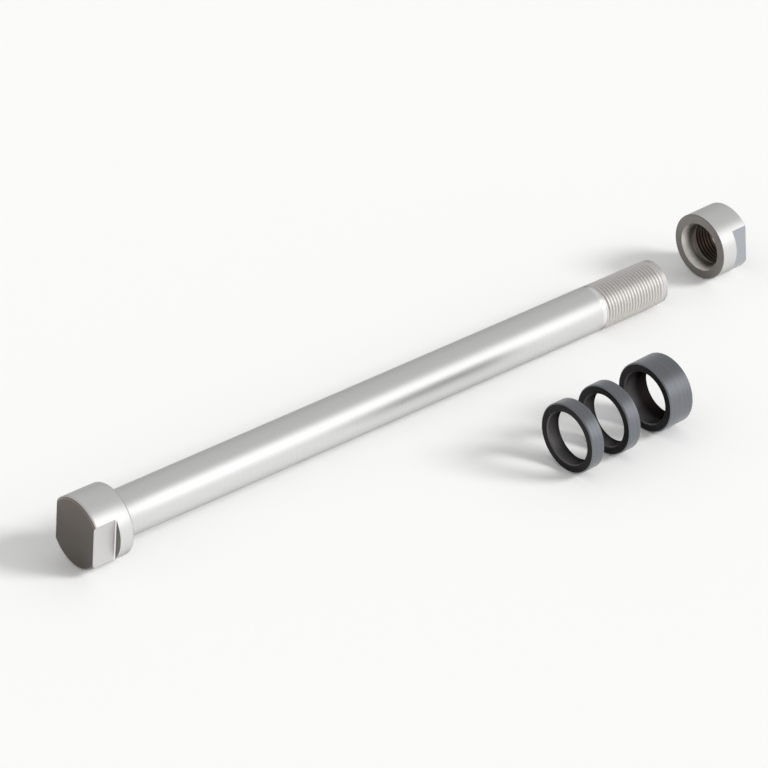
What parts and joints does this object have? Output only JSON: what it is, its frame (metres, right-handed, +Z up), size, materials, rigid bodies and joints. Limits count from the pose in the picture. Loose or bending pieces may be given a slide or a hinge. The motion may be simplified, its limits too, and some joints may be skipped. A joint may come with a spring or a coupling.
{
  "type": "bicycle thru axle",
  "caption": "Thru axle with a round head that has wrench flats, a plain shaft and a finely threaded end, with its round nut and loose spacer rings.",
  "frame": {"origin": "on the surface the set lies on, under the middle of its bounding box", "axes": "+X along the axle as seen from above, from its head to its thread and the nut; +Z up; -Y towards the spacers"},
  "size_m": [0.216, 0.064, 0.0188],
  "materials": {
    "satin_aluminium": "fine-turned and satin",
    "black_anodised": "satin black anodised"
  },
  "bodies": {
    "root": {"axle": "satin_aluminium", "nut": "satin_aluminium", "thin_spacer_1": "black_anodised", "thin_spacer_2": "black_anodised", "thick_spacer": "black_anodised"}
  },
  "joints": []
}
